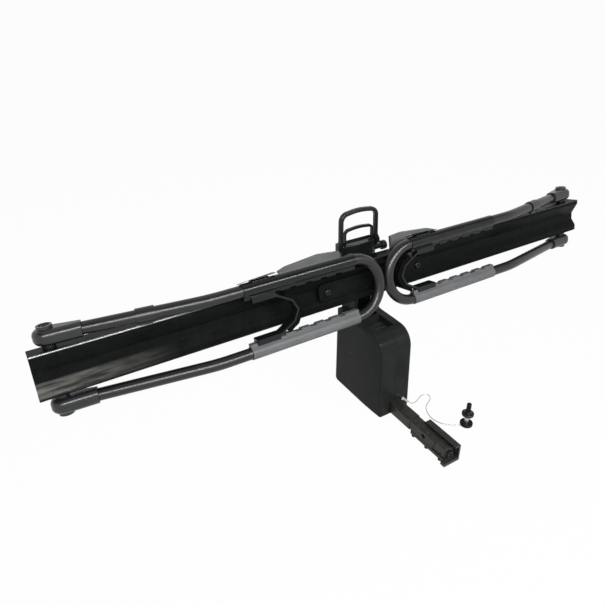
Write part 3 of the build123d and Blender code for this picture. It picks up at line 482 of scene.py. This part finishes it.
def start_rod(name, radius, start, length, vertices):
    """A cylinder primitive that runs along x from a point, in millimetres."""
    bpy.ops.object.select_all(action="DESELECT")
    place = Vector(start) * MM
    place.x += length / 2 * MM
    bpy.ops.mesh.primitive_cylinder_add(vertices=vertices, radius=radius * MM, depth=length * MM,
                                        location=place, rotation=(0, math.pi / 2, 0))
    return started(name)


def placed(piece, matrix):
    """Moves a piece's mesh out of the frame that it was drawn in."""
    piece.data.transform(matrix)
    return piece


# Stage

CAMERA_PLACE = Vector((-0.8612, -0.7882, 1.0537))
CAMERA_YAW = 31.27
CAMERA_PITCH = 28.37
CAMERA_ROLL = -0.24
CAMERA_LENS = 33.76
CAMERA_SHIFT = (0.0005, -0.0304)
CAMERA_REACH = 200
FLOOR_Z = -31.4 * MM
ROOM_RADIUS = 30.0
ROOM_HEIGHT = 24.0
ROOM_CORNER = 3.0
WORLD_LIGHT = 0.05
# Share of plain white in the floor as it is seen; the rest is lit paper, which holds the shadow
WHITE_SHARE = 0.97
# Depth and height of the line that the lamps are aimed at
LAMP_AIM = (0.2, 0.3)
# Name, place, length, width and power of each lamp
LAMPS = (("overhead_softbox", (0.3, 1.0, 2.4), 4.0, 2.4, 22.0),
         ("front_strip", (-0.5, -1.35, 1.5), 3.2, 0.2, 77.0),
         ("left_softbox", (-1.2, -1.2, 2.1), 1.6, 0.5, 4.0))


class RackStage(bpy.types.Operator):
    """Floor, lamps, world and the camera at the photograph's viewing angle"""
    bl_idname = "rack.stage"
    bl_label = "Stage"

    def execute(self, context):
        self.floor(context)
        self.world(context)
        for lamp in LAMPS:
            self.lamp(*lamp)
        self.camera(context)
        context.scene.view_settings.view_transform = "Standard"
        return {"FINISHED"}

    def floor(self, context):
        """A wide floor that curves up into a backdrop all round."""
        bpy.ops.object.select_all(action="DESELECT")
        bpy.ops.mesh.primitive_cylinder_add(vertices=96, radius=ROOM_RADIUS, depth=ROOM_HEIGHT,
                                            location=(0, 0, FLOOR_Z + ROOM_HEIGHT / 2))
        floor = started("floor")
        pick(floor, lambda centre, normal: normal.z > 0.5)
        bpy.ops.mesh.delete(type="ONLY_FACE")
        bpy.ops.mesh.select_all(action="SELECT")
        bpy.ops.mesh.flip_normals()
        leave()
        bevelled(floor, ROOM_CORNER, 10)
        select_only(floor)
        bpy.ops.object.shade_smooth()
        floor.data.materials.append(self.pale_floor(context.scene.rack_colours.floor))

    def pale_floor(self, colour):
        """Nearly white paper: it shows itself white, and keeps a faint shadow."""
        material, tree, _ = new_material("pale_floor")
        paper = add_node(tree, "ShaderNodeBsdfDiffuse", {"Color": colour})
        white = add_node(tree, "ShaderNodeEmission", {"Color": (1, 1, 1, 1), "Strength": 1.0})
        seen = self.seen_rays(tree)
        share = add_node(tree, "ShaderNodeMath", {0: seen, 1: WHITE_SHARE}, operation="MULTIPLY")
        both = add_node(tree, "ShaderNodeMixShader", {
            0: share.outputs[0], 1: paper.outputs["BSDF"], 2: white.outputs["Emission"]})
        add_node(tree, "ShaderNodeOutputMaterial", {"Surface": both.outputs["Shader"]})
        return material

    def seen_rays(self, tree):
        """1 for the rays that show the background: straight, mirrored or through glass."""
        path = add_node(tree, "ShaderNodeLightPath")
        seen = path.outputs["Is Camera Ray"]
        for ray in ("Is Glossy Ray", "Is Transmission Ray"):
            either = add_node(tree, "ShaderNodeMath", {0: seen, 1: path.outputs[ray]}, operation="MAXIMUM")
            seen = either.outputs[0]
        return seen

    def world(self, context):
        world = bpy.data.worlds.new("studio_room")
        world.use_nodes = True
        tree = world.node_tree
        tree.nodes.clear()
        shade = add_node(tree, "ShaderNodeBackground", {"Color": (1, 1, 1, 1), "Strength": WORLD_LIGHT})
        add_node(tree, "ShaderNodeOutputWorld", {"Surface": shade.outputs["Background"]})
        context.scene.world = world

    def lamp(self, name, place, length, width, power):
        light = bpy.data.lights.new(name, "AREA")
        light.shape = "RECTANGLE"
        light.size = length
        light.size_y = width
        light.energy = power
        lamp = bpy.data.objects.new(name, light)
        lamp.location = place
        aim = Vector((place[0], *LAMP_AIM)) - Vector(place)
        lamp.rotation_euler = aim.to_track_quat("-Z", "Y").to_euler()
        bpy.context.scene.collection.objects.link(lamp)

    def camera(self, context):
        yaw, pitch = math.radians(CAMERA_YAW), math.radians(CAMERA_PITCH)
        aim = Vector((math.cos(pitch) * math.sin(yaw), math.cos(pitch) * math.cos(yaw), -math.sin(pitch)))
        turn = aim.to_track_quat("-Z", "Y").to_matrix() @ Matrix.Rotation(math.radians(CAMERA_ROLL), 3, "Z")
        data = bpy.data.cameras.new("camera")
        data.sensor_width = 36.0
        data.lens = CAMERA_LENS
        data.shift_x, data.shift_y = CAMERA_SHIFT
        data.clip_end = CAMERA_REACH
        camera = bpy.data.objects.new("camera", data)
        camera.location = CAMERA_PLACE
        camera.rotation_euler = turn.to_euler()
        context.scene.collection.objects.link(camera)
        context.scene.camera = camera


# The rack's pieces

TRAY_HALF = 849.0
# How far a bead's end face is inset and how much its edge is rounded, as shares of its radius
BEAD_INSET = 0.4
BEAD_ROUNDING = 0.3
# Beads along the tray's lips: height up the tray, distance out of it, and finish
# The upper bead's bright finish is a painted highlight along the lip
BEADS = {"upper_bead": (50.9, -37.6, "rubbed_highlight"), "lower_bead": (-46.4, -44.6, "black_aluminium")}


class RackTray(bpy.types.Operator):
    """The tray, its beads and plate, and the bracket and braces behind it"""
    bl_idname = "rack.tray"
    bl_label = "Tray"

    def execute(self, context):
        sizes = context.scene.rack_sizes
        edge = sizes.edge
        dress("tray", edge)
        dress("tray_plate", edge, kind="black_aluminium")
        for name, (across, out, kind) in BEADS.items():
            self.bead(name, across, out, sizes.bead / 2 / MM, kind)
        dress("tilt_bracket", edge)
        for side in SIDES:
            dress("plate_bolt_" + side, edge)
            # The braces' paler grey paints the light on them
            dress("brace_" + side, sizes.brace_edge, 1, kind="grey_plastic")
        return {"FINISHED"}

    def bead(self, name, across, out, radius, kind):
        """A rolled bead along one of the tray's lips, with rounded ends."""
        piece = start_rod(name, radius, (-TRAY_HALF, across, out), 2 * TRAY_HALF, 20)
        pick(piece, lambda centre, normal: abs(normal.x) > 0.9)
        bpy.ops.mesh.inset(thickness=BEAD_INSET * radius * MM)
        leave()
        bevelled(piece, BEAD_ROUNDING * radius * MM, 2)
        smoothed(placed(piece, TRAY_FRAME))
        settle(piece, frame["nodes"]["tray"]["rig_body"], SLOTS["tray"], kind)


class RackHinges(bpy.types.Operator):
    """Knuckles, necks and their bolts"""
    bl_idname = "rack.hinges"
    bl_label = "Hinges"

    def execute(self, context):
        sizes = context.scene.rack_sizes
        for side in SIDES:
            for row in ROWS:
                dress(f"knuckle_{row}_{side}", sizes.casting_edge)
                dress(f"neck_{row}_{side}", sizes.edge)
                dress(f"hinge_bolt_{row}_{side}", sizes.edge)
        return {"FINISHED"}


class RackHoops(bpy.types.Operator):
    """Tube hoops with their collars and notched rails"""
    bl_idname = "rack.hoops"
    bl_label = "Hoops"

    def execute(self, context):
        edge = context.scene.rack_sizes.edge
        for side in SIDES:
            dress("hoop_tube_" + side, edge, round_bar=True)
            dress("collar_" + side, edge, kind="black_steel")
            dress("rail_upper_" + side, edge, kind="gloss_plastic")
            # The lower rails' paler grey paints the light on them; the upper rails are black
            dress("rail_lower_" + side, edge, kind="grey_plastic")
        return {"FINISHED"}


class RackHooks(bpy.types.Operator):
    """Wheel hooks with their pads, saddles and levers"""
    bl_idname = "rack.hooks"
    bl_label = "Wheel hooks"

    def execute(self, context):
        edge = context.scene.rack_sizes.edge
        for side in SIDES:
            for part in ("band", "saddle", "lever"):
                dress(f"hook_{part}_{side}", edge, kind="gloss_plastic")
            dress("hook_pad_" + side, edge)
        return {"FINISHED"}


class RackHandle(bpy.types.Operator):
    """Grab handle, its base, knob and release trigger"""
    bl_idname = "rack.handle"
    bl_label = "Handle"

    def execute(self, context):
        edge = context.scene.rack_sizes.edge
        dress("handle_base", edge, kind="gloss_plastic", shape=self.sink_top)
        for node in ("grab_handle", "release_trigger", "handle_knob"):
            dress(node, edge, kind="gloss_plastic")
        return {"FINISHED"}

    def sink_top(self, piece):
        """Sinks the base's top inside a rim, by twice the rim's thickness."""
        rim = bpy.context.scene.rack_sizes.base_rim
        pick(piece, lambda centre, normal: normal.dot(HANDLE_UP) > 0.95)
        bpy.ops.mesh.inset(thickness=rim)
        bpy.ops.mesh.extrude_region_move(TRANSFORM_OT_translate={"value": HANDLE_UP * -2 * rim})
        leave()


class RackHousing(bpy.types.Operator):
    """The moulded housing and the steel inside it"""
    bl_idname = "rack.housing"
    bl_label = "Housing"

    def execute(self, context):
        edge = context.scene.rack_sizes.edge
        for side in SIDES:
            dress("housing_" + side, edge)
        for node in ("pocket_insert", "upright", "tilt_pin"):
            dress(node, edge)
        return {"FINISHED"}


class RackBar(bpy.types.Operator):
    """Hitch bar, wedge, adapter and their bolts"""
    bl_idname = "rack.bar"
    bl_label = "Hitch bar"

    def execute(self, context):
        edge = context.scene.rack_sizes.edge
        for node in ("hitch_bar", "bar_sleeve", "end_wedge", "hitch_adapter"):
            dress(node, 2 * edge, kind="worn_steel")
        for node in ("adapter_bolt_a", "adapter_bolt_b", "adapter_bolt_c"):
            dress(node, edge)
        dress("wedge_bolt", edge)
        return {"FINISHED"}


# The cable's route, as in the part, in metres
CABLE = 2.4 * MM
CABLE_HEIGHT = FLOOR_Z + CABLE / 2
CABLE_POINTS = [
    (0.045, 0.1305, -0.003), (0.057, 0.130, -0.015), (0.074, 0.137, -0.028), (0.095, 0.143, CABLE_HEIGHT),
    (0.121, 0.156, CABLE_HEIGHT), (0.143, 0.146, CABLE_HEIGHT), (0.129, 0.124, CABLE_HEIGHT),
    (0.101, 0.115, CABLE_HEIGHT), (0.083, 0.090, CABLE_HEIGHT), (0.076, 0.062, CABLE_HEIGHT),
    (0.084, 0.035, CABLE_HEIGHT), (0.104, 0.015, CABLE_HEIGHT), (0.1245, 0.001, CABLE_HEIGHT)]


class RackLanyard(bpy.types.Operator):
    """The pin, its cap and the cable that ties it to the housing"""
    bl_idname = "rack.lanyard"
    bl_label = "Lanyard"

    def execute(self, context):
        edge = context.scene.rack_sizes.edge
        dress("lanyard_anchor", edge)
        # The pin is too long for a piece on a cord, so the CAD node itself stays
        pin = frame["nodes"]["hitch_pin"]
        pin.data.materials.clear()
        pin.data.materials.append(finish_of("dipped"))
        cap = dress("pin_cap", edge, kind="gloss_plastic")
        cable = self.cable()
        return {"FINISHED"}

    def cable(self):
        curve = bpy.data.curves.new("lanyard_cable_piece", "CURVE")
        curve.dimensions = "3D"
        curve.bevel_depth = CABLE / 2
        curve.bevel_resolution = 4
        curve.resolution_u = 16
        curve.use_fill_caps = True
        spline = curve.splines.new("NURBS")
        spline.points.add(len(CABLE_POINTS) - 1)
        for point, place in zip(spline.points, CABLE_POINTS):
            point.co = (*place, 1.0)
        spline.order_u = 3
        spline.use_endpoint_u = True
        piece = bpy.data.objects.new("lanyard_cable_piece", curve)
        bpy.context.scene.collection.objects.link(piece)
        settle(piece, frame["nodes"]["lanyard_cable"]["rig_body"], SLOTS["lanyard_cable"])
        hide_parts("lanyard_cable")
        return piece


class RackPanel(bpy.types.Panel):
    """Lists the rack's pieces in the sidebar"""
    bl_idname = "RACK_PT_pieces"
    bl_label = "Bike rack"
    bl_space_type = "VIEW_3D"
    bl_region_type = "UI"
    bl_category = "Bike rack"

    def draw(self, context):
        for group in (context.scene.rack_colours, context.scene.rack_sizes):
            for name in type(group).__annotations__:
                self.layout.prop(group, name)
        for step in STEPS:
            self.layout.operator(step.bl_idname)


STEPS = (RackTray, RackHinges, RackHoops, RackHooks, RackHandle, RackHousing, RackBar, RackLanyard,
         RackStage)
CLASSES = (RackColours, RackSizes) + STEPS + (RackPanel,)


def register():
    for item in CLASSES:
        bpy.utils.register_class(item)
    bpy.types.Scene.rack_colours = bpy.props.PointerProperty(type=RackColours)
    bpy.types.Scene.rack_sizes = bpy.props.PointerProperty(type=RackSizes)


def unregister():
    del bpy.types.Scene.rack_sizes
    del bpy.types.Scene.rack_colours
    for item in reversed(CLASSES):
        bpy.utils.unregister_class(item)


def main():
    register()
    for step in STEPS:
        group, name = step.bl_idname.split(".")
        getattr(getattr(bpy.ops, group), name)()


if __name__ == "__main__":
    main()
